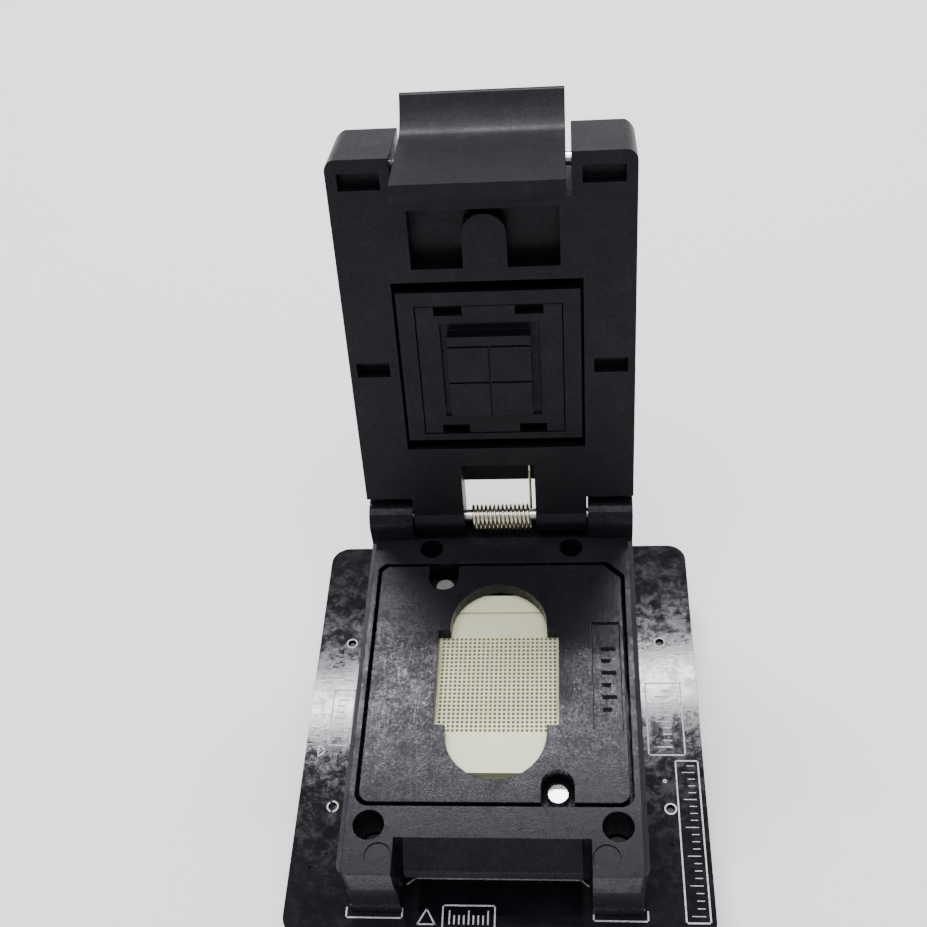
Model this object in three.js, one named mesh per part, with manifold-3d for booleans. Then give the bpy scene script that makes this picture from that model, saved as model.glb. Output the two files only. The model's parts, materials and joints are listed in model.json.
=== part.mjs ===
// A clamshell test socket for ball-grid memory chips, screwed to an adapter board that plugs
// into a chip programmer from above. The lid is shown standing open.
//
// Millimetres, +X to the right, +Y towards the hinge, +Z up. The origin is under the centre of
// the contact grid, on the plane that the two board connectors stand on.

import * as THREE from "three";
import { mergeVertices } from "three/addons/utils/BufferGeometryUtils.js";
import Module from "manifold-3d";

const wasm = await Module();
wasm.setup();

// ---------------------------------------------------------------- driving dimensions

const fit = 0.1; // clearance between pieces that sit in one another

// Board and its connectors
const connectorHeight = 6.5;
const boardThickness = 1.6;
const boardHalfWidth = 22.4;
const boardBack = 25;
const boardFront = -25;
const boardCorner = 2.2;
const boardTop = connectorHeight + boardThickness;
const connectorX = 18.5;
const connectorWidth = 5;
const connectorLength = 27;
const connectorPitch = 2;
const connectorContacts = 12;
const pegY = 10.6;
const pegRadius = 0.4;

// Socket body, with heights counted from the board's top face
const bodyHalfWidth = 15.4;
const bodyHeight = 10.2;
const postFront = -22.6;
const postInner = 9.85;
const frontWall = -18.7;
const bodyBack = 23.2;
const deckBack = 18.75;
const catchFront = -21.1;
const catchLow = 6.1;
const catchHigh = 7.6;
const troughFloor = 9.3;
const frontScrew = { x: 12.5, y: -17.4, counterbore: 1.6 };
const rearScrew = { x: 8.2, y: 17.2, counterbore: 1.35 };
const counterboreFloor = 3.2;

// Package frame that drops into the body
const frameHalfWidth = 13.8;
const frameFront = -14.9;
const frameBack = 14.6;
const frameGap = 0.43;
const frameBottom = 6.2;
const pocketHalfWidth = 6.7;
const pocketFront = -6.1;
const pocketBack = 5.8;
const archRadius = 5.4;
const archFrontY = -7.05;
const archBackY = 6.5;
const retainer = { x: 6.53, y: -13, notch: 1.7, headRadius: 1.05 };

// Contact plate, probe block
const plateTop = 8.3;
const plateBottom = 6.5;
const plateHalfWidth = 8.2;
const plateFront = -10.7;
const plateBack = 11.7;
const blockHalfWidth = 9.6;
const blockHalfLength = 13;
const blockTop = 5.9;
const plateSpring = { x: 7, y: 9.4, floor: 3.6 };

// Hinge
const hingeY = 20.8;
const hingeHeight = 12; // above the board's top face
const hingePinRadius = 0.75;
const springRadius = 1.5; // wider than the pin, so the coil hangs on it
const springDrop = 0.4;
const springLeft = -3.3;
const pinHoleRadius = 0.85;
const earInner = 10.25;
const earRadius = 2.4;
const openAngle = THREE.MathUtils.degToRad(104.5);

// Lid, in its own frame: closed, with the hinge axis at its origin
const lidHalfWidth = 15.45;
const lidFront = -44.9;
const lidEnd = -3.6;
const lidInner = -1.6;
const lidOuter = 7;
const armOuter = 10.1;
const armInner = 4.2;
const armRadius = 2;
const slotHalfWidth = 8.95;
const slotBack = -40.2;
const windowHalfWidth = 10;
const windowFront = -31.35;
const windowBack = -10.5;
const lidCeiling = 4;
const gridY = -hingeY; // the grid's centre, seen from the hinge

// Latch, around its pivot
const pivot = { y: -42.3, z: 3.4 };
const latchHalfWidth = 8.4;
const latchPinRadius = 0.7;
const latchSpring = { x: 5, front: -42, z: 5.75 };

// Pressure plate that floats in the lid
const platenHalfWidth = 9.7;
const platenFront = -9.3; // from the grid's centre
const platenBack = 9.1;
const platenFace = -1.5;
const platenTop = 2;
const pusherHalfWidth = 7.75;
const pusherFront = -7.6;
const pusherBack = 8.2;
const padFace = -2.7;
const pad = { left: -4.5, right: 4.35, front: -4.6, back: 5.3 };
const platenScrew = { x: 8.7, y: 8 };

// ---------------------------------------------------------------- materials

const finish = (color, roughness, metalness = 0) =>
  new THREE.MeshStandardMaterial({ color, roughness, metalness });
const black = finish(0x17171a, 0.45);
const lidBlack = finish(0x1c1c20, 0.5);
const boardBlack = finish(0x0d0d10, 0.18);
const beige = finish(0xc9cab2, 0.55);
const darkPlastic = finish(0x101012, 0.4);
const steel = finish(0xb9bbbd, 0.3, 1);
const blackSteel = finish(0x26262a, 0.4, 0.8);
const springGold = finish(0xb9a878, 0.3, 1);

// ---------------------------------------------------------------- solids

const solidOf = (geometry) => {
  const bare = geometry.clone();
  bare.deleteAttribute("normal");
  bare.deleteAttribute("uv");
  const merged = mergeVertices(bare, 1e-4);
  return new wasm.Manifold(
    new wasm.Mesh({
      numProp: 3,
      vertProperties: merged.attributes.position.array,
      triVerts: new Uint32Array(merged.index.array),
    }),
  );
};

const geometryOf = (solid) => {
  const mesh = solid.getMesh();
  const geometry = new THREE.BufferGeometry();
  geometry.setAttribute("position", new THREE.BufferAttribute(mesh.vertProperties, 3));
  geometry.setIndex(new THREE.BufferAttribute(mesh.triVerts, 1));
  geometry.computeVertexNormals();
  return geometry;
};

const meshOf = (name, solid, material) => {
  const mesh = new THREE.Mesh(geometryOf(solid), material);
  mesh.name = name;
  return mesh;
};

// A box between two corners.
const box = (x0, y0, z0, x1, y1, z1) =>
  solidOf(
    new THREE.BoxGeometry(x1 - x0, y1 - y0, z1 - z0).translate(
      (x0 + x1) / 2,
      (y0 + y1) / 2,
      (z0 + z1) / 2,
    ),
  );

// An upright cylinder.
const rod = (x, y, z0, z1, radius, sides = 20) =>
  solidOf(
    new THREE.CylinderGeometry(radius, radius, z1 - z0, sides)
      .rotateX(Math.PI / 2)
      .translate(x, y, (z0 + z1) / 2),
  );

// A cylinder along X.
const crossRod = (x0, x1, y, z, radius, sides = 20) =>
  solidOf(
    new THREE.CylinderGeometry(radius, radius, x1 - x0, sides)
      .rotateZ(Math.PI / 2)
      .translate((x0 + x1) / 2, y, z),
  );

// A cylinder along Y.
const longRod = (x, y0, y1, z, radius, sides = 16) =>
  solidOf(
    new THREE.CylinderGeometry(radius, radius, y1 - y0, sides).translate(x, (y0 + y1) / 2, z),
  );

// An outline in plan, raised from z0 to z1.
const raised = (shape, z0, z1, curveSegments = 8) =>
  solidOf(
    new THREE.ExtrudeGeometry(shape, {
      depth: z1 - z0,
      bevelEnabled: false,
      curveSegments,
    }).translate(0, 0, z0),
  );

// A side profile drawn as (y, z), spread along X from x0 to x1.
const spread = (shape, x0, x1, curveSegments = 8) => {
  const geometry = new THREE.ExtrudeGeometry(shape, {
    depth: x1 - x0,
    bevelEnabled: false,
    curveSegments,
  });
  const axes = new THREE.Matrix4().makeBasis(
    new THREE.Vector3(0, 1, 0),
    new THREE.Vector3(0, 0, 1),
    new THREE.Vector3(1, 0, 0),
  );
  return solidOf(geometry.applyMatrix4(axes).translate(x0, 0, 0));
};

const polygon = (points) => new THREE.Shape(points.map(([x, y]) => new THREE.Vector2(x, y)));

// A rectangle in plan with a radius on each corner.
const roundedRectangle = (x0, y0, x1, y1, radius) => {
  const shape = new THREE.Shape();
  shape.moveTo(x0 + radius, y0);
  shape.lineTo(x1 - radius, y0);
  shape.absarc(x1 - radius, y0 + radius, radius, -Math.PI / 2, 0);
  shape.lineTo(x1, y1 - radius);
  shape.absarc(x1 - radius, y1 - radius, radius, 0, Math.PI / 2);
  shape.lineTo(x0 + radius, y1);
  shape.absarc(x0 + radius, y1 - radius, radius, Math.PI / 2, Math.PI);
  shape.lineTo(x0, y0 + radius);
  shape.absarc(x0 + radius, y0 + radius, radius, Math.PI, 1.5 * Math.PI);
  return shape;
};

const add = (first, ...rest) => rest.reduce((sum, solid) => sum.add(solid), first);
const cut = (first, ...rest) => rest.reduce((left, solid) => left.subtract(solid), first);
const mirrorX = [1, -1];

// A coil spring around Z from z0 to z1, as one swept wire.
class Helix extends THREE.Curve {
  constructor(radius, z0, z1, turns) {
    super();
    Object.assign(this, { radius, z0, z1, turns });
  }
  getPoint(t, target = new THREE.Vector3()) {
    const angle = 2 * Math.PI * this.turns * t;
    return target.set(
      this.radius * Math.cos(angle),
      this.radius * Math.sin(angle),
      this.z0 + (this.z1 - this.z0) * t,
    );
  }
}

const wireSection = (radius, sides = 5) =>
  polygon(
    Array.from({ length: sides }, (_, i) => [
      radius * Math.cos((2 * Math.PI * i) / sides),
      radius * Math.sin((2 * Math.PI * i) / sides),
    ]),
  );

const coil = (radius, wire, z0, z1, turns, stepsPerTurn = 9) =>
  new THREE.ExtrudeGeometry(wireSection(wire), {
    steps: Math.round(turns * stepsPerTurn),
    extrudePath: new Helix(radius, z0 + wire, z1 - wire, turns),
    bevelEnabled: false,
  });

// ---------------------------------------------------------------- board

const screwPlaces = [
  ["front_left", -frontScrew.x, frontScrew.y, frontScrew.counterbore],
  ["front_right", frontScrew.x, frontScrew.y, frontScrew.counterbore],
  ["rear_left", -rearScrew.x, rearScrew.y, rearScrew.counterbore],
  ["rear_right", rearScrew.x, rearScrew.y, rearScrew.counterbore],
];

const circuitBoard = () => {
  const outline = roundedRectangle(
    -boardHalfWidth,
    boardFront,
    boardHalfWidth,
    boardBack,
    boardCorner,
  );
  const pegHoles = mirrorX.flatMap((sx) =>
    mirrorX.map((sy) => rod(sx * connectorX, sy * pegY, 0, boardTop + 1, pegRadius + fit, 14)),
  );
  const screwHoles = screwPlaces.map(([, x, y]) => rod(x, y, 0, boardTop + 1, 1.15, 16));
  return cut(raised(outline, connectorHeight, boardTop, 5), ...pegHoles, ...screwHoles);
};

// A two-row socket strip, open downwards, with two pegs that locate it in the board.
const boardConnector = (side) => {
  const x = side * connectorX;
  const body = box(
    x - connectorWidth / 2,
    -connectorLength / 2,
    0,
    x + connectorWidth / 2,
    connectorLength / 2,
    connectorHeight - fit,
  );
  const pegs = mirrorX.map((sy) => rod(x, sy * pegY, 1, boardTop - 0.4, pegRadius, 12));
  const holes = [];
  for (let i = 0; i < connectorContacts; i += 1) {
    const y = (i - (connectorContacts - 1) / 2) * connectorPitch;
    for (const row of mirrorX) {
      const holeX = x + (row * connectorPitch) / 2;
      holes.push(box(holeX - 0.35, y - 0.35, -1, holeX + 0.35, y + 0.35, 4.5));
    }
  }
  return cut(add(body, ...pegs), ...holes);
};

const hexNut = (x, y) =>
  cut(rod(x, y, connectorHeight - 1.7, connectorHeight - fit, 2.3, 6), rod(x, y, 0, 9, 1.08, 16));

// ---------------------------------------------------------------- socket body

// The hole for the package frame, cut larger than the frame by a gap.
const frameOutline = (grow) => {
  const left = -frameHalfWidth - grow;
  const right = frameHalfWidth + grow;
  const front = frameFront - grow;
  const back = frameBack + grow;
  const corner = 1.2 + grow / 2;
  const smallChamfer = 0.7;
  const keyChamfer = 1.9;
  const shape = new THREE.Shape();
  shape.moveTo(left + corner, front);
  shape.lineTo(right - corner, front);
  shape.absarc(right - corner, front + corner, corner, -Math.PI / 2, 0);
  shape.lineTo(right, back - keyChamfer);
  shape.lineTo(right - keyChamfer, back);
  shape.lineTo(left + smallChamfer, back);
  shape.lineTo(left, back - smallChamfer);
  shape.lineTo(left, front + corner);
  shape.absarc(left + corner, front + corner, corner, Math.PI, 1.5 * Math.PI);
  return shape;
};

// Side view of the body's middle: a wall with a ramp and a catch edge in front, the flat deck,
// and the trough that clears the lid's hinge arms.
const bodyProfile = () =>
  polygon([
    [frontWall, 0.3],
    [bodyBack, 0.3],
    [bodyBack, troughFloor],
    [deckBack, troughFloor],
    [deckBack, bodyHeight],
    [frontWall, bodyHeight],
    [catchFront, catchHigh],
    [catchFront, catchLow],
    [frontWall, catchLow - 0.5],
  ]);

// A corner post in front, set back a little below its upper band.
const postProfile = () =>
  polygon([
    [frontWall + 1, 0.1],
    [frontWall + 1, bodyHeight],
    [postFront, bodyHeight],
    [postFront, 6.5],
    [postFront + 0.3, 6],
    [postFront + 0.3, 0.1],
  ]);

// The two outer front corners of the posts are rounded; this is the body's whole plan.
const bodyPlan = () => {
  const corner = 1.3;
  const shape = new THREE.Shape();
  shape.moveTo(-bodyHalfWidth, bodyBack);
  shape.lineTo(-bodyHalfWidth, postFront + corner);
  shape.absarc(-bodyHalfWidth + corner, postFront + corner, corner, Math.PI, 1.5 * Math.PI);
  shape.lineTo(bodyHalfWidth - corner, postFront);
  shape.absarc(bodyHalfWidth - corner, postFront + corner, corner, 1.5 * Math.PI, 2 * Math.PI);
  shape.lineTo(bodyHalfWidth, bodyBack);
  return shape;
};

// A long wedge that takes the sharp edge off a top corner running along Y.
const edgeWedge = (x, side, top, size, y0, y1) => {
  const profile = polygon([
    [x, top - size],
    [x + side, top + 1 - size],
    [x + side, top + 1],
    [x - side * (size + 1), top + 1],
    [x - side * size, top],
  ]);
  const wedge = new THREE.ExtrudeGeometry(profile, { depth: y1 - y0, bevelEnabled: false });
  return solidOf(wedge.rotateX(Math.PI / 2).translate(0, y1, 0));
};

const earProfile = () => {
  const shape = new THREE.Shape();
  shape.moveTo(hingeY - earRadius, 0.3);
  shape.lineTo(hingeY + earRadius, 0.3);
  shape.lineTo(hingeY + earRadius, hingeHeight);
  shape.absarc(hingeY, hingeHeight, earRadius, 0, Math.PI);
  return shape;
};

const socketBody = () => {
  const block = add(
    spread(bodyProfile(), -postInner - 0.5, postInner + 0.5),
    ...mirrorX.map((side) => {
      const [x0, x1] = [side * postInner, side * bodyHalfWidth].sort((a, b) => a - b);
      return add(
        spread(postProfile(), x0, x1),
        box(x0, frontWall, 0.1, x1, deckBack, bodyHeight),
        box(x0, deckBack - 1, 0.3, x1, bodyBack, troughFloor),
      );
    }),
    ...mirrorX.map((side) => {
      const [x0, x1] = [side * earInner, side * bodyHalfWidth].sort((a, b) => a - b);
      return spread(earProfile(), x0, x1, 10);
    }),
  );
  const frameWell = raised(frameOutline(frameGap), frameBottom - fit, bodyHeight + 1, 4);
  const catchSide = mirrorX.map((side) => {
    const [x0, x1] = [side * (postInner - 0.9), side * postInner].sort((a, b) => a - b);
    return box(x0, catchFront - 1, 0, x1, frontWall, bodyHeight + 1);
  });
  const probeCavity = add(
    box(-9, -12, 0, 9, 12, bodyHeight),
    box(-blockHalfWidth - fit, -blockHalfLength - fit, 0, blockHalfWidth + fit, 13 + fit, 2),
  );
  const hingeHole = crossRod(-20, 20, hingeY, hingeHeight, pinHoleRadius, 16);
  const springLegHole = rod(springLeft, hingeY + springRadius, 7, troughFloor + 1, 0.35, 10);
  const sideBevels = mirrorX.map((side) =>
    edgeWedge(side * bodyHalfWidth, side, bodyHeight, 0.55, postFront - 1, hingeY - earRadius),
  );
  const screws = screwPlaces.flatMap(([, x, y, counterbore]) => [
    rod(x, y, counterboreFloor, bodyHeight + 1, counterbore, 20),
    rod(x, y, 0, counterboreFloor + 1, 1.15, 16),
  ]);
  const ejectorMarks = mirrorX.map((side) =>
    rod(side * 11.3, -20.6, bodyHeight - 0.15, bodyHeight + 1, 1.35, 20),
  );
  const retainerHoles = mirrorX.map((side) =>
    rod(side * retainer.x, side * retainer.y, 3, frameBottom, 0.65, 10),
  );
  return cut(
    block.intersect(raised(bodyPlan(), 0, 20, 6)),
    frameWell,
    probeCavity,
    hingeHole,
    springLegHole,
    ...sideBevels,
    ...catchSide,
    ...screws,
    ...ejectorMarks,
    ...retainerHoles,
  );
};

// ---------------------------------------------------------------- inside the body

const frameOpening = () => {
  const shape = new THREE.Shape();
  shape.moveTo(-archRadius, archFrontY);
  shape.absarc(0, archFrontY, archRadius, Math.PI, 2 * Math.PI);
  shape.lineTo(archRadius, pocketFront);
  shape.lineTo(pocketHalfWidth, pocketFront);
  shape.lineTo(pocketHalfWidth, pocketBack);
  shape.lineTo(archRadius, pocketBack);
  shape.lineTo(archRadius, archBackY);
  shape.absarc(0, archBackY, archRadius, 0, Math.PI);
  shape.lineTo(-archRadius, pocketBack);
  shape.lineTo(-pocketHalfWidth, pocketBack);
  shape.lineTo(-pocketHalfWidth, pocketFront);
  shape.lineTo(-archRadius, pocketFront);
  return shape;
};

// The U-shaped notch over a retaining screw, open to the frame's near edge.
const retainerNotch = (side) => {
  const x = side * retainer.x;
  const y = side * retainer.y;
  const edge = side > 0 ? frameFront - 1 : frameBack + 1;
  const [y0, y1] = [y, edge].sort((a, b) => a - b);
  return add(
    rod(x, y, 7.4, bodyHeight + 1, retainer.notch, 20),
    box(x - retainer.notch, y0, 7.4, x + retainer.notch, y1, bodyHeight + 1),
    rod(x, y, frameBottom - 1, bodyHeight, 0.65, 12),
  );
};

const packageFrame = () => {
  const plate = raised(frameOutline(0), frameBottom, bodyHeight, 4);
  const opening = raised(frameOpening(), frameBottom - 1, bodyHeight + 1, 8);
  const underside = box(
    -plateHalfWidth - 0.2,
    plateFront - 0.3,
    frameBottom - 1,
    plateHalfWidth + 0.2,
    plateBack + 0.3,
    plateTop + 0.2,
  );
  const labelPocket = box(10.35, -6.7, bodyHeight - 0.3, frameHalfWidth - 0.4, 6.7, bodyHeight + 1);
  const notches = mirrorX.map(retainerNotch);
  return cut(plate, opening, underside, labelPocket, ...notches);
};

const retainingScrew = (side) => {
  const x = side * retainer.x;
  const y = side * retainer.y;
  return add(
    rod(x, y, 7.55, plateTop, retainer.headRadius, 20),
    rod(x, y, 3.2, 7.6, 0.55, 12),
  );
};

const contactPlate = () => {
  const plate = box(
    -plateHalfWidth,
    plateFront,
    plateBottom,
    plateHalfWidth,
    plateBack,
    plateTop,
  );
  const groove = box(-9, 9.1, plateTop - 0.3, 9, 9.4, plateTop + 1);
  return cut(plate, groove);
};

// The block that holds the spring probes, clamped between the body and the board.
const probeBlock = () => {
  const tower = box(-8.8, -11.8, 0.2, 8.8, 11.8, blockTop);
  const flange = box(-blockHalfWidth, -blockHalfLength, 0.2, blockHalfWidth, blockHalfLength, 1.8);
  const wells = mirrorX.flatMap((sx) =>
    mirrorX.map((sy) =>
      rod(sx * plateSpring.x, sy * plateSpring.y, plateSpring.floor, blockTop + 1, 1.1, 16),
    ),
  );
  return cut(add(tower, flange), ...wells);
};

// ---------------------------------------------------------------- fasteners and pins

const bodyScrew = (x, y, counterbore) => {
  const headRadius = counterbore - 0.15;
  const head = rod(x, y, counterboreFloor + 0.05, counterboreFloor + 1.5, headRadius, 20);
  const shank = rod(x, y, -boardThickness - 2.2, counterboreFloor + 0.5, 1, 14);
  const cross = [
    box(x - 0.75, y - 0.16, counterboreFloor + 1, x + 0.75, y + 0.16, counterboreFloor + 2),
    box(x - 0.16, y - 0.75, counterboreFloor + 1, x + 0.16, y + 0.75, counterboreFloor + 2),
  ];
  return cut(add(head, shank), ...cross);
};

const hingePin = () =>
  crossRod(-bodyHalfWidth + 0.15, bodyHalfWidth - 0.15, 0, 0, hingePinRadius, 18);

// The torsion spring's wire around Z: a straight leg, the coil, and a second straight leg.
// Each leg leaves the coil along its tangent.
class TorsionWire extends THREE.Curve {
  constructor({ radius, pitch, start, sweep, firstLeg, lastLeg }) {
    super();
    const rise = pitch / (2 * Math.PI);
    const perRadian = Math.hypot(radius, rise);
    const length = firstLeg + perRadian * sweep + lastLeg;
    Object.assign(this, { radius, rise, perRadian, start, sweep, firstLeg, length });
    this.arcLengthDivisions = 1200;
  }
  getPoint(t, target = new THREE.Vector3()) {
    const along = t * this.length - this.firstLeg;
    const turned = THREE.MathUtils.clamp(along / this.perRadian, 0, this.sweep);
    const beyond = along - turned * this.perRadian;
    const bend = Math.cos(this.start + turned);
    const side = Math.sin(this.start + turned);
    return target.set(
      this.radius * bend - beyond * side,
      this.radius * side + beyond * bend,
      this.rise * turned,
    );
  }
}

// The first leg stands in a hole behind the pin; the last one lies in the lid's recess.
const torsionSpring = () => {
  const start = Math.PI / 2;
  const wire = new TorsionWire({
    radius: springRadius,
    pitch: 0.49,
    start,
    sweep: 2 * Math.PI * 14 + Math.PI - openAngle - start,
    firstLeg: 4.2,
    lastLeg: 7,
  });
  const geometry = new THREE.ExtrudeGeometry(wireSection(0.2, 6), {
    steps: 156,
    extrudePath: wire,
    bevelEnabled: false,
  });
  return solidOf(geometry.translate(0, 0, springLeft));
};

// ---------------------------------------------------------------- lid

const lidPlan = () => {
  const corner = 1.2;
  const shape = new THREE.Shape();
  shape.moveTo(-lidHalfWidth, lidEnd);
  shape.lineTo(-lidHalfWidth, lidFront + corner);
  shape.absarc(-lidHalfWidth + corner, lidFront + corner, corner, Math.PI, 1.5 * Math.PI);
  shape.lineTo(-slotHalfWidth, lidFront);
  shape.lineTo(-slotHalfWidth, slotBack);
  shape.lineTo(slotHalfWidth, slotBack);
  shape.lineTo(slotHalfWidth, lidFront);
  shape.lineTo(lidHalfWidth - corner, lidFront);
  shape.absarc(lidHalfWidth - corner, lidFront + corner, corner, 1.5 * Math.PI, 2 * Math.PI);
  shape.lineTo(lidHalfWidth, lidEnd);
  return shape;
};

// One hinge arm beside the spring: a bar that ends in a round eye.
const lidArm = (side) => {
  const [x0, x1] = [side * armInner, side * armOuter].sort((a, b) => a - b);
  const shape = new THREE.Shape();
  shape.moveTo(lidEnd - 1, lidInner);
  shape.lineTo(-Math.sqrt(armRadius ** 2 - lidInner ** 2), lidInner);
  shape.absarc(0, 0, armRadius, Math.PI + Math.asin(-lidInner / armRadius), 2.5 * Math.PI);
  shape.lineTo(lidEnd - 1, armRadius);
  return spread(shape, x0, x1, 12);
};

// The two deep pockets near the latch, with the round-ended tongue between them.
const moldedPockets = () => {
  const tongue = 2.3;
  const front = gridY - 18.5;
  const back = gridY - 12.05;
  const shape = new THREE.Shape();
  shape.moveTo(-7.7, front);
  shape.lineTo(7.7, front);
  shape.lineTo(7.7, back);
  shape.lineTo(tongue, back);
  shape.lineTo(tongue, gridY - 18 + tongue);
  shape.absarc(0, gridY - 18 + tongue, tongue, 0, -Math.PI, true);
  shape.lineTo(-tongue, back);
  shape.lineTo(-7.7, back);
  return raised(shape, lidInner - 1, lidInner + 2.6, 8);
};

const lidRecess = (x0, x1, y0, y1) =>
  mirrorX.map((side) => {
    const [a, b] = [side * x0, side * x1].sort((p, q) => p - q);
    return box(a, gridY + y0, lidInner - 1, b, gridY + y1, lidInner + 1.5);
  });

const platenScrewPlaces = [
  ["front_left", -platenScrew.x, -platenScrew.y],
  ["front_right", platenScrew.x, -platenScrew.y],
  ["rear_left", -platenScrew.x, platenScrew.y],
  ["rear_right", platenScrew.x, platenScrew.y],
];

const lidShell = () => {
  const slab = raised(lidPlan(), lidInner, lidOuter, 5);
  const outerBevels = mirrorX.map((side) =>
    edgeWedge(side * lidHalfWidth, side, lidOuter, 1, lidFront - 1, lidEnd + 1),
  );
  const window = box(
    -windowHalfWidth,
    windowFront,
    lidInner - 1,
    windowHalfWidth,
    windowBack,
    lidCeiling,
  );
  const springSeat = box(-armInner, gridY + 12.7, lidInner - 1, armInner, lidEnd + 5, 2.1);
  const latchPinHole = crossRod(-12.9, 20, pivot.y, pivot.z, latchPinRadius + fit, 14);
  const latchSpringWells = mirrorX.map((side) =>
    longRod(side * latchSpring.x, slotBack - 1, -38.2, latchSpring.z, 0.95, 14),
  );
  const platenHoles = platenScrewPlaces.flatMap(([, x, y]) => [
    rod(x, gridY + y, lidCeiling - 1, lidOuter + 1, 0.75, 12),
    rod(x, gridY + y, lidOuter - 1.7, lidOuter + 1, 1.5, 16),
  ]);
  return cut(
    add(slab, ...mirrorX.map(lidArm)),
    ...outerBevels,
    window,
    springSeat,
    latchPinHole,
    crossRod(-20, 20, 0, 0, pinHoleRadius, 16),
    moldedPockets(),
    ...lidRecess(10, 14.3, -22.65, -20.8),
    ...lidRecess(11.05, 14.65, -1.05, 0.7),
    ...latchSpringWells,
    ...platenHoles,
  );
};

// ---------------------------------------------------------------- latch

// Side view around the pivot: hook and nose below, barrel at the pivot, thumb lip above.
const latchProfile = () => {
  const bottom = -6.95 - pivot.z;
  const noseTop = -6.15 - pivot.z;
  const noseTip = 0.15;
  const backLow = -0.75;
  const frontLow = -1.95;
  const shape = new THREE.Shape();
  shape.moveTo(frontLow, bottom);
  shape.lineTo(backLow, bottom);
  shape.lineTo(noseTip, bottom + 0.35);
  shape.lineTo(noseTip, noseTop);
  shape.lineTo(backLow, noseTop);
  shape.lineTo(-1.15, -1.6);
  shape.absarc(0, 0, 1.5, -0.7 * Math.PI, 0.45 * Math.PI);
  shape.lineTo(0.1, 3.2);
  shape.lineTo(-1.5, 3.4);
  shape.lineTo(-5.4, 4.3);
  shape.absarc(-5.6, 3.65, 0.6, 0.42 * Math.PI, 1.2 * Math.PI);
  shape.bezierCurveTo(-4.7, 2.5, -2.95, 1.6, -2.75, -0.3);
  return shape;
};

const latch = () =>
  cut(
    spread(latchProfile(), -latchHalfWidth, latchHalfWidth, 20),
    crossRod(-20, 20, 0, 0, latchPinRadius + fit, 14),
  );

// ---------------------------------------------------------------- pressure plate

const platenFrame = () => {
  const plate = box(
    -platenHalfWidth,
    gridY + platenFront,
    platenFace,
    platenHalfWidth,
    gridY + platenBack,
    platenTop,
  );
  const opening = box(
    -pusherHalfWidth - fit,
    gridY + pusherFront - fit,
    platenFace - 1,
    pusherHalfWidth + fit,
    gridY + pusherBack + fit,
    platenTop - 0.8,
  );
  const wells = platenScrewPlaces.flatMap(([, x, y]) => [
    rod(x, gridY + y, 1.35, platenTop + 1, 0.82, 14),
    rod(x, gridY + y, 0, platenTop + 1, 0.55, 12),
  ]);
  return cut(plate, opening, ...wells);
};

const pusher = () => {
  const panel = box(
    -pusherHalfWidth,
    gridY + pusherFront,
    platenFace + 0.1,
    pusherHalfWidth,
    gridY + pusherBack,
    platenTop - 0.9,
  );
  const recess = box(-5.3, gridY - 5.5, platenFace - 1, 5.3, gridY + 6, platenFace + 0.5);
  const block = box(
    pad.left,
    gridY + pad.front,
    padFace,
    pad.right,
    gridY + pad.back,
    platenFace + 0.6,
  );
  const groove = 0.22;
  const grooveTop = padFace + 0.3;
  const grooves = [
    box(-9, gridY - 3.5, padFace - 1, 9, gridY - 3.5 + groove, grooveTop),
    box(-9, gridY + 0.9, padFace - 1, 9, gridY + 0.9 + groove, grooveTop),
    box(-0.2, gridY - 3.5, padFace - 1, -0.2 + groove, gridY + 9, grooveTop),
  ];
  const slots = mirrorX.flatMap((side) => {
    const [x0, x1] = [side * 2.8, side * 5.8].sort((a, b) => a - b);
    return [
      box(x0, gridY + pusherFront - 1, platenFace - 1, x1, gridY - 6.5, platenFace + 1.4),
      box(x0, gridY + 7.15, platenFace - 1, x1, gridY + pusherBack + 1, platenFace + 1.4),
    ];
  });
  return cut(add(cut(panel, recess), block), ...grooves, ...slots);
};

const platenShoulderScrew = (x, y) => {
  const head = rod(x, gridY + y, lidOuter - 1.65, lidOuter - 0.9, 1.3, 16);
  const shank = rod(x, gridY + y, 0.1, lidOuter - 1.5, 0.5, 12);
  return add(head, shank);
};

// ---------------------------------------------------------------- assembly

const assembly = new THREE.Group();

const socket = new THREE.Group();
socket.position.z = boardTop;
assembly.add(socket);

const lid = new THREE.Group();
lid.position.set(0, hingeY, boardTop + hingeHeight);
lid.rotation.x = -openAngle;
assembly.add(lid);

const latchGroup = new THREE.Group();
latchGroup.position.set(0, pivot.y, pivot.z);
lid.add(latchGroup);

assembly.add(
  meshOf("circuit_board", circuitBoard(), boardBlack),
  meshOf("board_connector_left", boardConnector(-1), darkPlastic),
  meshOf("board_connector_right", boardConnector(1), darkPlastic),
);
for (const [place, x, y, counterbore] of screwPlaces) {
  assembly.add(meshOf("nut_" + place, hexNut(x, y), steel));
  socket.add(meshOf("body_screw_" + place, bodyScrew(x, y, counterbore), blackSteel));
}

socket.add(
  meshOf("socket_body", socketBody(), black),
  meshOf("package_frame", packageFrame(), black),
  meshOf("contact_plate", contactPlate(), beige),
  meshOf("probe_block", probeBlock(), beige),
  meshOf("frame_screw_front_right", retainingScrew(1), steel),
  meshOf("frame_screw_rear_left", retainingScrew(-1), steel),
);

const cornerNames = [
  ["front_left", -1, -1],
  ["front_right", 1, -1],
  ["rear_left", -1, 1],
  ["rear_right", 1, 1],
];
for (const [place, sx, sy] of cornerNames) {
  const low = plateSpring.floor + fit;
  const spring = solidOf(coil(0.8, 0.14, low, plateBottom - 0.05, 4));
  const mesh = meshOf("plate_spring_" + place, spring, steel);
  mesh.position.set(sx * plateSpring.x, sy * plateSpring.y, 0);
  socket.add(mesh);
}

const pin = meshOf("hinge_pin", hingePin(), steel);
pin.position.set(0, hingeY, hingeHeight);
socket.add(pin);

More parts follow.
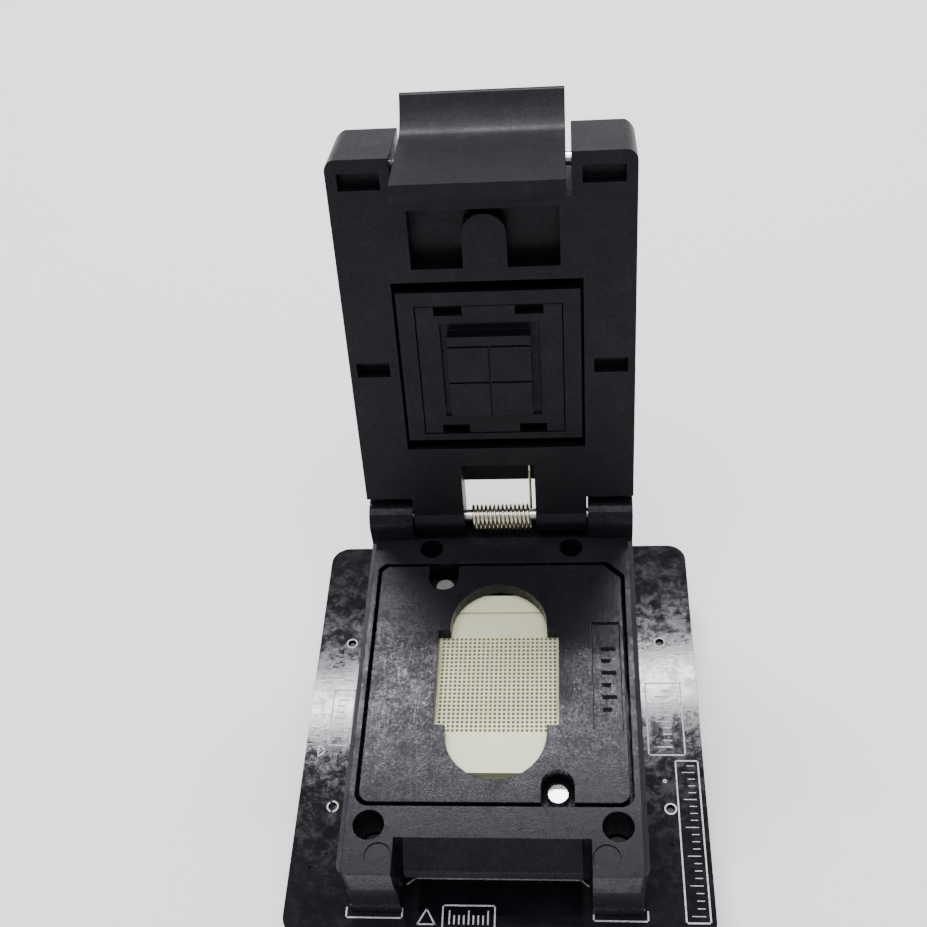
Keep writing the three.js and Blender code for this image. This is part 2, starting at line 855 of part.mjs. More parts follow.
const hingeSpring = meshOf("torsion_spring", torsionSpring(), springGold);
hingeSpring.rotation.y = Math.PI / 2;
const springTurn = new THREE.Group();
springTurn.position.set(0, hingeY, hingeHeight - springDrop);
springTurn.add(hingeSpring);
socket.add(springTurn);

lid.add(
  meshOf("lid_shell", lidShell(), lidBlack),
  meshOf("platen_frame", platenFrame(), lidBlack),
  meshOf("pusher", pusher(), lidBlack),
);
for (const [place, x, y] of platenScrewPlaces) {
  lid.add(meshOf("platen_screw_" + place, platenShoulderScrew(x, y), steel));
  const spring = solidOf(coil(0.68, 0.1, 1.4, lidCeiling - 0.05, 4));
  const mesh = meshOf("platen_spring_" + place, spring, steel);
  mesh.position.set(x, gridY + y, 0);
  lid.add(mesh);
}
lid.add(
  meshOf(
    "latch_pin",
    crossRod(-12.7, lidHalfWidth - 0.2, pivot.y, pivot.z, latchPinRadius, 14),
    steel,
  ),
);
for (const [place, side] of [["left", -1], ["right", 1]]) {
  const wire = solidOf(coil(0.65, 0.12, 0, 3.7, 5));
  const spring = meshOf("latch_spring_" + place, wire, steel);
  spring.rotation.x = -Math.PI / 2;
  spring.position.set(side * latchSpring.x, latchSpring.front, latchSpring.z);
  lid.add(spring);
}
latchGroup.add(meshOf("latch", latch(), lidBlack));

export default assembly;
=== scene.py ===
import json
import math

import bpy
from mathutils import Matrix, Vector


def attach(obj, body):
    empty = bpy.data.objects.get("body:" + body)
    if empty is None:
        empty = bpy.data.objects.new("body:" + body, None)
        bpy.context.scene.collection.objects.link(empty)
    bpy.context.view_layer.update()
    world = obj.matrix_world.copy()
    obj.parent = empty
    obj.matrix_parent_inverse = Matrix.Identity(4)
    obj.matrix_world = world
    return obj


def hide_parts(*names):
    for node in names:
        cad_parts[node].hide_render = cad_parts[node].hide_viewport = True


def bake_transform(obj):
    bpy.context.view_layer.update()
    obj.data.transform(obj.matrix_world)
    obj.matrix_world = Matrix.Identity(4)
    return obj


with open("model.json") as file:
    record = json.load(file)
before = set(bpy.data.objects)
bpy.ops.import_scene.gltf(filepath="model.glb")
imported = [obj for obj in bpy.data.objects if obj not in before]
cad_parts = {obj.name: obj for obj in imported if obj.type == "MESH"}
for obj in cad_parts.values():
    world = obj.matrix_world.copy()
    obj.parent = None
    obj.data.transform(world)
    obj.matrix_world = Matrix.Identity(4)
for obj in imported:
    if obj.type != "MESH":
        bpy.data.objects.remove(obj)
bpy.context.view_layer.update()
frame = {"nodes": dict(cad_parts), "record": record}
nodes = frame["nodes"]
slots = {part["node"]: part["material_slot"] for part in frame["record"]["subparts"]}

MM = 0.001

# Sizes in millimetres, in the row frame
BOARD_TOP = 8.1
CONNECTOR_X = 18.5
PEG_Y = 10.6
PEG_HOLE_RADIUS = 0.5
PEG_PAD_RADIUS = 0.68

PLATE_TOP = BOARD_TOP + 8.3
PLATE_BOTTOM = BOARD_TOP + 6.5
PLATE_HALF_WIDTH = 8.2
PLATE_FRONT = -10.7
PLATE_BACK = 11.7
GROOVE_Y = (9.1, 9.4)
GROOVE_DEPTH = 0.3

PITCH = 0.5
COLUMNS = 26
ROWS = 24
HOLE_RADIUS = 0.175
HOLE_SIDES = 8

PROBE_BLOCK_TOP = BOARD_TOP + 5.9
TIP_BELOW_PLATE_TOP = 0.75
TIP_RADIUS = 0.1
TIP_END_RADIUS = 0.05
TIP_TAPER = 0.1
TIP_SIDES = 6

HINGE_Y = 20.8
HINGE_Z = BOARD_TOP + 12
OPEN_ANGLE = math.radians(104.5)

TORSION_RADIUS = 1.5
TORSION_WIRE = 0.17
TORSION_PITCH = 0.49
TORSION_START_X = -3.3
TORSION_DROP = 0.4
TORSION_TURNS = 14
COIL_STEPS = 460
LAST_TURN_STEPS = 36
FIRST_LEG = (4.2, 3.0, 1.5, 0.3)  # distances from the coil along the leg
LAST_LEG = (0.3, 1.5, 3.5, 5.5, 7.0)

WIRE_SIDES = 8
STEPS_PER_TURN = 20  # of a compression spring

FRAME_TOP = BOARD_TOP + 10.2
LABEL_DEPTH = 0.3


# ------------------------------------------------------------------ node helpers

class Nodes:
    """A material's node tree, with short calls for adding and joining nodes."""

    def __init__(self, name):
        self.material = bpy.data.materials.new(name)
        self.material.use_nodes = True
        self.tree = self.material.node_tree
        self.shader = self.tree.nodes["Principled BSDF"]

    def add(self, kind, **settings):
        node = self.tree.nodes.new(kind)
        for key, value in settings.items():
            setattr(node, key, value)
        return node

    def join(self, output, socket):
        self.tree.links.new(output, socket)

    def feed(self, output, name):
        """Joins an output to one of the shader's own sockets."""
        self.join(output, self.shader.inputs[name])

    def place(self):
        """The surface point in the object's own frame, in millimetres."""
        coordinates = self.add("ShaderNodeTexCoord")
        scaled = self.add("ShaderNodeVectorMath", operation="SCALE")
        scaled.inputs["Scale"].default_value = 1.0 / MM
        self.join(coordinates.outputs["Object"], scaled.inputs[0])
        return scaled.outputs[0]

    def stretched(self, factors):
        """The surface point in millimetres, scaled by a factor on each axis."""
        node = self.add("ShaderNodeVectorMath", operation="MULTIPLY")
        self.join(self.place(), node.inputs[0])
        node.inputs[1].default_value = factors
        return node.outputs[0]

    def noise(self, scale, detail=3.0, roughness=0.5, where=None):
        node = self.add("ShaderNodeTexNoise")
        node.inputs["Scale"].default_value = scale
        node.inputs["Detail"].default_value = detail
        node.inputs["Roughness"].default_value = roughness
        self.join(where or self.place(), node.inputs["Vector"])
        return node.outputs["Fac"]

    def sum_of(self, first, second):
        node = self.add("ShaderNodeMath", operation="ADD")
        self.join(first, node.inputs[0])
        self.join(second, node.inputs[1])
        return node.outputs[0]

    def span(self, value, source, target):
        """A value mapped from one range, given as its two ends, to another."""
        node = self.add("ShaderNodeMapRange")
        names = ("From Min", "From Max", "To Min", "To Max")
        for name, number in zip(names, (*source, *target)):
            node.inputs[name].default_value = number
        self.join(value, node.inputs["Value"])
        return node.outputs["Result"]

    def mix(self, factor, first, second):
        """Two colours mixed by a factor."""
        node = self.add("ShaderNodeMix", data_type="RGBA")
        self.join(factor, node.inputs["Factor"])
        node.inputs["A"].default_value = (*first, 1.0)
        node.inputs["B"].default_value = (*second, 1.0)
        return node.outputs["Result"]

    def bump(self, height, strength, distance, under):
        """A bump whose distance is in millimetres, laid over another normal."""
        node = self.add("ShaderNodeBump")
        node.inputs["Strength"].default_value = strength
        node.inputs["Distance"].default_value = distance * MM
        self.join(height, node.inputs["Height"])
        self.join(under, node.inputs["Normal"])
        return node.outputs["Normal"]

    def soft_edges(self, radius):
        node = self.add("ShaderNodeBevel", samples=4)
        node.inputs["Radius"].default_value = radius * MM
        return node.outputs["Normal"]

    def set(self, **values):
        """Constant values on the shader, with underscores for the spaces in a name."""
        for name, value in values.items():
            self.shader.inputs[name.replace("_", " ")].default_value = value


# ------------------------------------------------------------------ materials

def moulded_plastic(name, dark, light, roughness, grain, shine=0.35, wear=0.5):
    """Black moulded plastic: sparked grain, patches polished by use, and fine scratches."""
    m = Nodes(name)
    patches = m.noise(0.35, 5.0, 0.65)
    spots = m.noise(3.2, 4.0, 0.7)
    scratches = m.noise(0.5, 4.0, 0.6, m.stretched((9.0, 1.0, 3.0)))

    rubbed = m.sum_of(
        m.span(spots, (0.35, 0.7), (0.0, 0.6)),
        m.span(patches, (0.35, 0.7), (0.0, 0.4)),
    )
    rubbed = m.sum_of(rubbed, m.span(scratches, (0.55, 0.7), (0.0, 0.3)))
    worn = (0.2, 0.9)
    fresh_roughness = roughness + 0.12 * wear
    worn_roughness = roughness - 0.16 * wear
    fresh_shine = shine * (1 - 0.5 * wear)
    worn_shine = shine * (1 + 0.6 * wear)
    m.feed(m.mix(rubbed, dark, light), "Base Color")
    m.feed(m.span(rubbed, worn, (fresh_roughness, worn_roughness)), "Roughness")
    m.feed(m.span(rubbed, worn, (fresh_shine, worn_shine)), "Specular IOR Level")
    m.set(Specular_Tint=(0.95, 0.90, 1.0, 1.0))

    surface = m.soft_edges(0.12)
    surface = m.bump(m.noise(6.0, 2.0), grain, 0.011, surface)
    surface = m.bump(scratches, grain, 0.012, surface)
    surface = m.bump(m.noise(1.1, 2.0), grain, 0.012, surface)
    m.feed(surface, "Normal")
    return m.material


def board_laminate():
    """Black solder mask: glossy, a little wavy, with smears that break up the glare."""
    m = Nodes("board_laminate")
    waves = m.noise(0.25, 2.0)
    ripples = m.noise(2.2, 4.0, 0.65)
    smears = m.span(m.noise(0.8, 5.0, 0.75), (0.42, 0.6), (0.0, 1.0))
    tone = m.span(waves, (0.3, 0.7), (0.0, 1.0))
    m.feed(m.mix(tone, (0.0035, 0.0033, 0.005), (0.0065, 0.006, 0.009)), "Base Color")
    m.feed(m.span(smears, (0.0, 1.0), (0.06, 0.14)), "Roughness")
    m.feed(m.bump(ripples, 0.3, 0.012, m.soft_edges(0.08)), "Normal")
    m.set(Specular_IOR_Level=0.22, Specular_Tint=(0.96, 0.93, 1.0, 1.0))
    return m.material


def print_ink():
    """White ink, thin in places."""
    m = Nodes("print_ink")
    cover = m.span(m.noise(6.0, 3.0, 0.6), (0.3, 0.6), (0.0, 1.0))
    m.feed(m.mix(cover, (0.18, 0.18, 0.2), (0.58, 0.58, 0.6)), "Base Color")
    m.set(Roughness=0.5)
    return m.material


def contact_plastic():
    """Cream engineering plastic with a fine matt grain."""
    m = Nodes("contact_plastic")
    cloud = m.noise(0.5, 3.0)
    grain = m.noise(12.0, 2.0)
    m.feed(m.mix(cloud, (0.60, 0.61, 0.40), (0.67, 0.68, 0.47)), "Base Color")
    m.feed(m.span(grain, (0.3, 0.7), (0.38, 0.52)), "Roughness")
    m.feed(m.bump(grain, 0.15, 0.02, m.soft_edges(0.05)), "Normal")
    return m.material


def metal(name, dark, light, roughness, streak=5.0):
    """Metal with cloudy streaks in its colour, its polish and its surface."""
    m = Nodes(name)
    streaks = m.noise(streak, 4.0, 0.6)
    polish = (roughness - 0.06, roughness + 0.06)
    m.feed(m.mix(streaks, dark, light), "Base Color")
    m.feed(m.span(streaks, (0.3, 0.7), polish), "Roughness")
    m.feed(m.bump(streaks, 0.1, 0.02, m.soft_edges(0.06)), "Normal")
    m.set(Metallic=1.0)
    return m.material


PLASTICS = {
    "body_plastic": {
        "dark": (0.0050, 0.0046, 0.0068),
        "light": (0.0105, 0.0098, 0.0142),
        "roughness": 0.24,
        "grain": 0.7,
        "shine": 0.12,
        "wear": 0.65,
    },
    "lid_plastic": {
        "dark": (0.0034, 0.0031, 0.0047),
        "light": (0.0052, 0.0047, 0.0071),
        "roughness": 0.38,
        "grain": 0.4,
        "shine": 0.18,
        "wear": 0.3,
    },
    "connector_plastic": {
        "dark": (0.010, 0.010, 0.011),
        "light": (0.016, 0.016, 0.018),
        "roughness": 0.45,
        "grain": 0.3,
    },
    "mark_black": {
        "dark": (0.002, 0.002, 0.002),
        "light": (0.003, 0.003, 0.003),
        "roughness": 0.7,
        "grain": 0.2,
        "shine": 0.1,
    },
}

METALS = {
    "steel": {
        "dark": (0.55, 0.55, 0.54),
        "light": (0.78, 0.78, 0.76),
        "roughness": 0.25,
    },
    # Darker, rougher steel: the dull finish of the board pads, and painted shade on the rear-left
    # frame screw, which sits in the lid's shade
    "dull_steel_and_painted_shade": {
        "dark": (0.12, 0.12, 0.115),
        "light": (0.34, 0.33, 0.31),
        "roughness": 0.5,
        "streak": 3.0,
    },
    "black_steel": {
        "dark": (0.05, 0.05, 0.055),
        "light": (0.10, 0.10, 0.105),
        "roughness": 0.38,
    },
    "spring_wire": {
        "dark": (0.62, 0.56, 0.42),
        "light": (0.80, 0.74, 0.58),
        "roughness": 0.22,
    },
    "probe_gold": {
        "dark": (0.25, 0.19, 0.10),
        "light": (0.42, 0.33, 0.18),
        "roughness": 0.35,
    },
}


def make_materials():
    made = {
        "board_laminate": board_laminate(),
        "contact_plastic": contact_plastic(),
        "print_ink": print_ink(),
    }
    for name, look in PLASTICS.items():
        made[name] = moulded_plastic(name, **look)
    for name, look in METALS.items():
        made[name] = metal(name, **look)
    return made


# ------------------------------------------------------------------ mesh helpers

def mesh_object(name, vertices, faces, material, smooth=False):
    """A mesh from points in millimetres."""
    mesh = bpy.data.meshes.new(name)
    mesh.from_pydata([Vector(v) * MM for v in vertices], [], faces)
    mesh.materials.append(material)
    if smooth:
        mesh.shade_smooth()
    mesh.update()
    piece = bpy.data.objects.new(name, mesh)
    bpy.context.scene.collection.objects.link(piece)
    return piece


def around(sides):
    """The cosine and sine of every corner of a regular polygon."""
    angles = [2 * math.pi * k / sides for k in range(sides)]
    return [(math.cos(angle), math.sin(angle)) for angle in angles]


def tube_faces(first, sides, levels):
    """The quads between rings of points that follow each other from one index on."""
    faces = []
    for level in range(levels):
        for k in range(sides):
            a = first + level * sides + k
            b = first + level * sides + (k + 1) % sides
            faces.append((a, b, b + sides, a + sides))
    return faces


def swept_wire(points, radius, up=Vector((1, 0, 0))):
    """Points and faces of a round wire along a list of points that never runs along up."""
    vertices = []
    for i, point in enumerate(points):
        ahead = points[min(i + 1, len(points) - 1)]
        behind = points[max(i - 1, 0)]
        along = (ahead - behind).normalized()
        side = along.cross(up).normalized()
        across = side.cross(along).normalized()
        for c, s in around(WIRE_SIDES):
            vertices.append(point + radius * (side * c + across * s))
    levels = len(points) - 1
    last = levels * WIRE_SIDES
    faces = tube_faces(0, WIRE_SIDES, levels)
    faces.append(tuple(reversed(range(WIRE_SIDES))))
    faces.append(tuple(range(last, last + WIRE_SIDES)))
    return vertices, faces


def merge(parts):
    """One list of points and one of faces from several pairs of them."""
    vertices = []
    faces = []
    for more_vertices, more_faces in parts:
        start = len(vertices)
        vertices += more_vertices
        faces += [tuple(start + i for i in face) for face in more_faces]
    return vertices, faces


def hole_centres():
    """The centre of every hole in the contact plate, column by column."""
    for column in range(COLUMNS):
        for row in range(ROWS):
            yield (column + 0.5 - COLUMNS / 2) * PITCH, (row + 0.5 - ROWS / 2) * PITCH


# ------------------------------------------------------------------ contact plate

class Surface:
    """A mesh in the making, whose faces share their points."""

    def __init__(self):
        self.vertices = []
        self.faces = []
        self.index = {}

    def point(self, x, y, z):
        key = (round(x, 4), round(y, 4), round(z, 4))
        if key not in self.index:
            self.index[key] = len(self.vertices)
            self.vertices.append(key)
        return self.index[key]

    def face(self, corners, upward=True):
        self.faces.append(corners if upward else corners[::-1])

    def panel(self, x0, y0, x1, y1, z, upward=True):
        """A level rectangle."""
        corners = ((x0, y0), (x1, y0), (x1, y1), (x0, y1))
        self.face(tuple(self.point(x, y, z) for x, y in corners), upward)

    def wall(self, start, end, z0, z1):
        """An upright rectangle on the line from start to end, between two heights."""
        corners = ((*start, z0), (*end, z0), (*end, z1), (*start, z1))
        self.face(tuple(self.point(*corner) for corner in corners))


def hole_field(surface, z, upward):
    """One side of the plate over the grid: a ring of quads round each hole."""
    for cx, cy in hole_centres():
        ring = []
        rim = []
        for c, s in around(HOLE_SIDES):
            ring.append(surface.point(cx + HOLE_RADIUS * c, cy + HOLE_RADIUS * s, z))
            reach = PITCH / 2 / max(abs(c), abs(s))
            rim.append(surface.point(cx + reach * c, cy + reach * s, z))
        for k in range(HOLE_SIDES):
            n = (k + 1) % HOLE_SIDES
            surface.face((ring[k], rim[k], rim[n], ring[n]), upward)


def hole_walls(surface):
    """The bore of every hole, from the top of the plate to its underside."""
    corners = around(HOLE_SIDES)
    for cx, cy in hole_centres():
        for k in range(HOLE_SIDES):
            c0, s0 = corners[k]
            c1, s1 = corners[(k + 1) % HOLE_SIDES]
            start = (cx + HOLE_RADIUS * c0, cy + HOLE_RADIUS * s0)
            end = (cx + HOLE_RADIUS * c1, cy + HOLE_RADIUS * s1)
            surface.wall(start, end, PLATE_TOP, PLATE_BOTTOM)


def contact_plate(materials):
    """The floating plate with its real grid of round holes and its one groove."""
    surface = Surface()
    half_x = COLUMNS * PITCH / 2
    half_y = ROWS * PITCH / 2
    w = PLATE_HALF_WIDTH
    groove_front, groove_back = GROOVE_Y
    groove_floor = PLATE_TOP - GROOVE_DEPTH
    sides = ((PLATE_TOP, True), (PLATE_BOTTOM, False))

    for z, upward in sides:
        hole_field(surface, z, upward)
    hole_walls(surface)
    for z, upward in sides:
        surface.panel(-w, PLATE_FRONT, w, -half_y, z, upward)
        surface.panel(-w, -half_y, -half_x, half_y, z, upward)
        surface.panel(half_x, -half_y, w, half_y, z, upward)
        surface.panel(-w, half_y, w, groove_front, z, upward)
        surface.panel(-w, groove_back, w, PLATE_BACK, z, upward)
    surface.panel(-w, groove_front, w, groove_back, groove_floor)
    surface.panel(-w, groove_front, w, groove_back, PLATE_BOTTOM, upward=False)
    surface.wall((-w, groove_front), (w, groove_front), PLATE_TOP, groove_floor)
    surface.wall((w, groove_back), (-w, groove_back), PLATE_TOP, groove_floor)

    outline = ((-w, PLATE_FRONT), (w, PLATE_FRONT), (w, PLATE_BACK), (-w, PLATE_BACK))
    for start, end in zip(outline, outline[1:] + outline[:1]):
        surface.wall(start, end, PLATE_BOTTOM, groove_floor)
    for start, end in (
        ((-w, PLATE_FRONT), (w, PLATE_FRONT)),
        ((w, PLATE_FRONT), (w, groove_front)),
        ((w, groove_back), (w, PLATE_BACK)),
        ((w, PLATE_BACK), (-w, PLATE_BACK)),
        ((-w, PLATE_BACK), (-w, groove_back)),
        ((-w, groove_front), (-w, PLATE_FRONT)),
    ):
        surface.wall(start, end, groove_floor, PLATE_TOP)

    plate = mesh_object(
        "contact_plate_with_holes", surface.vertices, surface.faces, materials["contact_plastic"]
    )
    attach(plate, "plate")
    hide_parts("contact_plate")


def probe_tips(materials):
    """One slim tip in every hole, standing on the probe block."""
    vertices = []
    faces = []
    tip = PLATE_TOP - TIP_BELOW_PLATE_TOP
    rings = (
        (PROBE_BLOCK_TOP, TIP_RADIUS),
        (tip - TIP_TAPER, TIP_RADIUS),
        (tip, TIP_END_RADIUS),
    )
    levels = len(rings) - 1
    for cx, cy in hole_centres():
        first = len(vertices)
        for z, radius in rings:
            vertices += [(cx + radius * c, cy + radius * s, z) for c, s in around(TIP_SIDES)]
        faces += tube_faces(first, TIP_SIDES, levels)
        faces.append(tuple(first + levels * TIP_SIDES + k for k in range(TIP_SIDES)))
    tips = mesh_object("probe_tips", vertices, faces, materials["probe_gold"])
    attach(tips, "base")


# ------------------------------------------------------------------ torsion spring

def torsion_spring(materials):
    """A finely drawn wire: the last turn and its leg swing with the lid, the rest stays."""
    full_turn = 2 * math.pi
    start = math.pi / 2
    sweep = full_turn * TORSION_TURNS + math.pi - OPEN_ANGLE - start
    split = sweep - full_turn
    centre = Vector((TORSION_START_X, HINGE_Y, HINGE_Z - TORSION_DROP))

    def on_coil(turned):
        x = TORSION_PITCH * turned / full_turn
        y = TORSION_RADIUS * math.sin(start + turned)
        z = -TORSION_RADIUS * math.cos(start + turned)
        return centre + Vector((x, y, z))

    def tangent(turned):
        return Vector((0, math.cos(start + turned), math.sin(start + turned)))

    def turns(first, last, steps):
        return [on_coil(first + (last - first) * i / steps) for i in range(steps + 1)]

    first_leg = [on_coil(0) - tangent(0) * distance for distance in FIRST_LEG]
    last_leg = [on_coil(sweep) + tangent(sweep) * distance for distance in LAST_LEG]
    for name, points, body in (
        ("torsion_coil", first_leg + turns(0, split, COIL_STEPS), "base"),
        ("torsion_leg", turns(split, sweep, LAST_TURN_STEPS) + last_leg, "lid"),
    ):
        wire = swept_wire(points, TORSION_WIRE)
        piece = mesh_object(name, *wire, materials["spring_wire"], smooth=True)
        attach(piece, body)
        if body == "base":
            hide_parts("torsion_spring")


# ------------------------------------------------------------------ compression springs

def in_lid(x, y, z):
    """A point of the lid's own frame (hinge axis at its origin, lid shut) in the row frame."""
    c, s = math.cos(-OPEN_ANGLE), math.sin(-OPEN_ANGLE)
    return Vector((x, HINGE_Y + y * c - z * s, HINGE_Z + y * s + z * c))


def compression_spring(node, ends, radius, wire, turns, bodies, materials):
    """A coil spring drawn in place between two end points."""
    first, last = ends
    axis = (last - first).normalized()
    across = Vector((1, 0, 0))
    other = axis.cross(across)
    height = (last - first).length - 2 * wire
    steps = turns * STEPS_PER_TURN
    points = []
    for i in range(steps + 1):
        angle = 2 * math.pi * turns * i / steps
        along = first + axis * (wire + height * i / steps)
        points.append(along + radius * (across * math.cos(angle) + other * math.sin(angle)))
    own = slots[node]
    mesh = swept_wire(points, wire, up=axis)
    piece = mesh_object(node + "_coil", *mesh, materials[own], smooth=True)
    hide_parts(node)
    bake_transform(piece)


def plate_spring(name, x, y, materials):
    """Under a corner of the contact plate."""
    ends = (Vector((x, y, BOARD_TOP + 3.7)), Vector((x, y, BOARD_TOP + 6.45)))
    coil = {"radius": 0.8, "wire": 0.13, "turns": 4}
    compression_spring(name, ends, **coil, bodies=("base", "plate"), materials=materials)


def platen_spring(name, x, y, materials):
    """Between the lid and a corner of the pressing plate, y being measured with the lid shut."""
    ends = (in_lid(x, y - HINGE_Y, 3.95), in_lid(x, y - HINGE_Y, 1.4))
    coil = {"radius": 0.66, "wire": 0.1, "turns": 4}
    compression_spring(name, ends, **coil, bodies=("lid", "platen"), materials=materials)


def latch_spring(name, x, materials):
    """Between the lid and the back of the latch."""
    ends = (in_lid(x, -38.3, 5.75), in_lid(x, -42.0, 5.75))
    coil = {"radius": 0.64, "wire": 0.11, "turns": 5}
    compression_spring(name, ends, **coil, bodies=("lid", "latch"), materials=materials)


def compression_springs(materials):
    sides = (("left", -1), ("right", 1))
    for end, sy in (("front", -1), ("rear", 1)):
        for side, sx in sides:
            corner = end + "_" + side
            plate_spring("plate_spring_" + corner, sx * 7.0, sy * 9.4, materials)
            platen_spring("platen_spring_" + corner, sx * 8.7, sy * 8, materials)
    for side, sx in sides:
        latch_spring("latch_spring_" + side, sx * 5, materials)


# ------------------------------------------------------------------ board print

def stroke(points, width, height, closed=False):
    """A flat line of even width through points (x, y), as quads at one height."""
    vertices = []
    faces = []
    count = len(points)
    pairs = [(i, (i + 1) % count) for i in range(count if closed else count - 1)]
    for a, b in pairs:
        p = Vector((*points[a], height))
        q = Vector((*points[b], height))
        along = (q - p).normalized() * width / 2
        side = Vector((-along.y, along.x, 0))
        first = len(vertices)
        vertices += [p - along - side, q + along - side, q + along + side, p - along + side]
        faces.append((first, first + 1, first + 2, first + 3))
    return vertices, faces


def rectangle(x0, y0, x1, y1):
    return [(x0, y0), (x1, y0), (x1, y1), (x0, y1)]


def ticks(count, first, step, every, long, short, width, height, upright=False):
    """A row of ruler ticks, with every few of them long. Long and short each give two ends."""
    parts = []
    for i in range(count):
        place = first + step * i
        ends = long if i % every == 0 else short
        points = [(place, end) if upright else (end, place) for end in ends]
        parts.append(stroke(points, width, height))
    return parts


def board_print(materials):
    """Outlines around the socket and its part fields, with plain marks in place of lettering."""
    z = BOARD_TOP + 0.02
    line = 0.16
    left_field = rectangle(-19.9, -3.1, -17.4, 4.1)
    right_field = rectangle(16.5, -4.2, 20.5, 5.0)
    long_field = rectangle(19.35, -23.0, 21.8, -4.9)
    front_field = rectangle(-5.6, -23.9, -0.2, -21.5)
    left_arrow = [(-20.9, -4.6), (-20.9, -3.0), (-20.1, -3.8)]
    front_arrow = [(-8.2, -23.5), (-6.4, -23.5), (-7.3, -21.9)]
    closed_lines = (left_field, right_field, long_field, front_field, left_arrow, front_arrow)
    open_lines = (
        [(-8.7, -18.65), (8.7, -18.65)],
        [(-8.7, -18.65), (-9.5, -19.3)],
        [(8.7, -18.65), (9.5, -19.3)],
        [(-15.7, -21.9), (-15.7, -22.9), (-9.85, -22.9), (-9.85, -21.9)],
        [(15.5, -21.9), (15.5, -22.9), (9.95, -22.9), (9.95, -21.9)],
    )
    parts = [stroke(points, line, z, closed=True) for points in closed_lines]
    parts += [stroke(points, line, z) for points in open_lines]
    in_long_field = ticks(22, -22.3, 0.8, 4, (20.0, 21.3), (20.6, 21.3), 0.5 * line, z)
    in_front_field = ticks(9, -4.9, 0.5, 4, (-23.4, -22.1), (-23.4, -22.6), line, z, upright=True)
    in_right_field = ticks(10, -3.2, 0.8, 4, (17.6, 19.1), (18.3, 19.1), line, z)
    in_left_field = ticks(7, -2.0, 0.8, 3, (-19.2, -18.0), (-19.2, -18.5), line, z)
    parts += in_long_field + in_front_field + in_right_field + in_left_field
    ink = mesh_object("board_print", *merge(parts), materials["print_ink"])
    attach(ink, "base")


def board_traces(materials):
    """Copper runs that stand up a little under the black solder mask."""
    z = BOARD_TOP + 0.03
    trace_width = 0.22
    runs = (
        [(-8.1, -20.8), (-2.75, -20.7), (-1.9, -19.9)],
        [(2.2, -23.6), (4.3, -21.2), (7.5, -21.2)],
        [(1.4, -22.6), (2.6, -21.3), (2.6, -20.2)],
        [(-22.0, 12.0), (-19.5, 9.5), (-19.5, 5.5)],
        [(17.0, 12.5), (19.0, 14.5), (19.0, 20.0), (16.2, 22.8)],
        [(21.6, 12.0), (20.3, 10.7), (20.3, 6.4)],
        [(-20.8, -8.0), (-18.6, -10.2), (-18.6, -16.0), (-20.2, -17.6), (-20.2, -23.0)],
        [(16.6, -6.0), (17.6, -7.0), (17.6, -12.0)],
        [(17.3, -13.5), (18.4, -14.6), (18.4, -21.0)],
    )
    parts = [stroke(points, trace_width, z) for points in runs]
    traces = mesh_object("board_traces", *merge(parts), materials["board_laminate"])
    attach(traces, "base")


def annulus(x, y, inner, outer, z):
    """A flat ring round a hole."""
    sides = 24
    vertices = []
    for radius in (inner, outer):
        vertices += [(x + radius * c, y + radius * s, z) for c, s in around(sides)]
    faces = []
    for k in range(sides):
        n = (k + 1) % sides
        faces.append((k, sides + k, sides + n, n))
    return vertices, faces


def board_pads(materials):
    """Plated rings round the four peg holes, and one small test point."""
    z = BOARD_TOP + 0.015
    parts = [
        annulus(sx * CONNECTOR_X, sy * PEG_Y, PEG_HOLE_RADIUS, PEG_PAD_RADIUS, z)
        for sx in (-1, 1)
        for sy in (-1, 1)
    ]
    parts.append(annulus(18.07, -7.34, 0.1, 0.22, z))
    pads = mesh_object("board_pads", *merge(parts), materials["dull_steel_and_painted_shade"])
    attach(pads, "base")


def frame_marks(materials):
    """A plain row of bars, short and long in turn, in the package frame's label pocket."""
    z = FRAME_TOP - LABEL_DEPTH + 0.01
    bar_width = 0.5
    bar_step = 1.5
    parts = []
    for i in range(6):
        y = -4.4 + bar_step * i
        end = 12.9 if i % 2 else 12.3
        corners = rectangle(11.3, y, end, y + bar_width)
        parts.append(([(*corner, z) for corner in corners], [(0, 1, 2, 3)]))
    marks = mesh_object("frame_marks", *merge(parts), materials["mark_black"])
    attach(marks, "base")


# ------------------------------------------------------------------ room, light, camera

def pale_floor():
    floor = Nodes("floor")
    tone = floor.noise(0.02, 2.0)
    floor.feed(floor.mix(tone, (0.85, 0.855, 0.86), (0.88, 0.885, 0.89)), "Base Color")
    floor.set(Roughness=0.7)
    reach = 4000
    corners = [(x, y, 0) for x, y in rectangle(-reach, -reach, reach, reach)]
    plane = mesh_object("floor", corners, [(0, 1, 2, 3)], floor.material)


def studio_lamps():
    """Two long narrow lamps for the highlights and a wide soft one, all facing the object."""
    for name, place, width, depth, power in (
        ("strip", (-30, 355, 600), 420, 24, 5.4),
        ("bar", (0, 142, 900), 300, 24, 2.0),
        ("ceiling", (0, -200, 900), 900, 500, 6.6),
    ):
        data = bpy.data.lights.new(name, "AREA")
        data.shape = "RECTANGLE"
        data.size = width * MM
        data.size_y = depth * MM
        data.energy = power
        lamp = bpy.data.objects.new(name, data)
        bpy.context.scene.collection.objects.link(lamp)
        lamp.location = Vector(place) * MM
        lamp.rotation_euler = (-lamp.location).to_track_quat("-Z", "Y").to_euler()


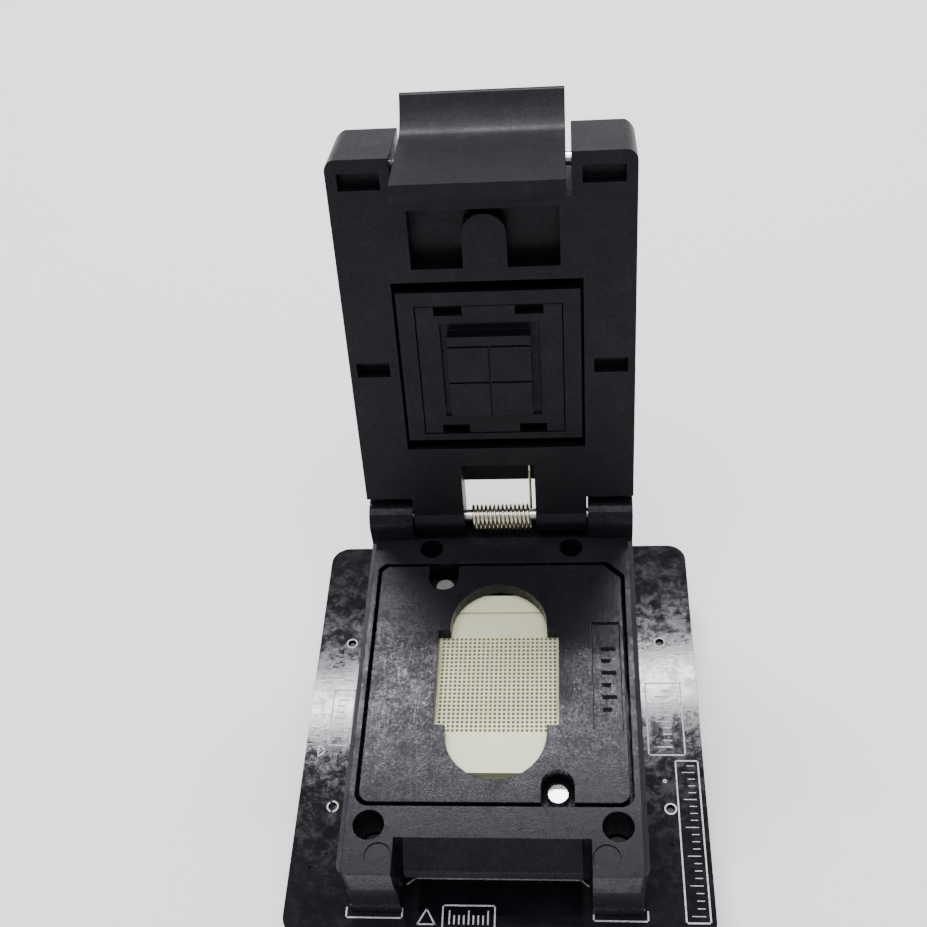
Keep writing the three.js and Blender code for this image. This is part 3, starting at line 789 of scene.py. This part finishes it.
def studio_world():
    """Soft light all round, brightest at the horizon."""
    horizon, high_up = 0.1, 0.8
    horizon_strength, top_strength = 1.1, 0.42
    world = bpy.data.worlds.new("studio")
    bpy.context.scene.world = world
    world.use_nodes = True
    tree = world.node_tree
    background = tree.nodes["Background"]
    background.inputs["Color"].default_value = (0.96, 0.98, 1.0, 1.0)
    direction = tree.nodes.new("ShaderNodeTexCoord")
    parts = tree.nodes.new("ShaderNodeSeparateXYZ")
    strength = tree.nodes.new("ShaderNodeMapRange")
    strength.inputs["From Min"].default_value = horizon
    strength.inputs["From Max"].default_value = high_up
    strength.inputs["To Min"].default_value = horizon_strength
    strength.inputs["To Max"].default_value = top_strength
    tree.links.new(direction.outputs["Generated"], parts.inputs[0])
    tree.links.new(parts.outputs["Z"], strength.inputs["Value"])
    tree.links.new(strength.outputs["Result"], background.inputs["Strength"])


def main_camera():
    """A camera above the front of the object, looking down at it and a little rolled."""
    place = Vector((8.67, -71.79, 136.05)) * MM
    pitch = math.radians(48.78)
    yaw = math.radians(-7.63)
    roll = math.radians(6.72)
    forward = Vector(
        (math.sin(yaw) * math.cos(pitch), math.cos(yaw) * math.cos(pitch), -math.sin(pitch))
    )
    right = Vector((math.cos(yaw), -math.sin(yaw), 0))
    down = forward.cross(right)
    image_right = math.cos(roll) * right + math.sin(roll) * down
    image_down = -math.sin(roll) * right + math.cos(roll) * down
    axes = Matrix((image_right, -image_down, -forward)).transposed()
    data = bpy.data.cameras.new("camera")
    data.lens = 48.66
    data.sensor_width = 36
    data.clip_start = 0.005
    data.clip_end = 20
    camera = bpy.data.objects.new("camera", data)
    bpy.context.scene.collection.objects.link(camera)
    camera.matrix_world = Matrix.Translation(place) @ axes.to_4x4()
    bpy.context.scene.camera = camera


# ------------------------------------------------------------------ build

materials = make_materials()
for name, piece in nodes.items():
    piece.data.materials.clear()
    # The rear-left frame screw gets a darker steel than the other frame screw: painted shade from
    # the lid
    own = "dull_steel_and_painted_shade" if name == "frame_screw_rear_left" else slots[name]
    piece.data.materials.append(materials[own])

contact_plate(materials)
probe_tips(materials)
torsion_spring(materials)
compression_springs(materials)
board_print(materials)
board_pads(materials)
board_traces(materials)
frame_marks(materials)
pale_floor()
studio_world()
studio_lamps()
main_camera()
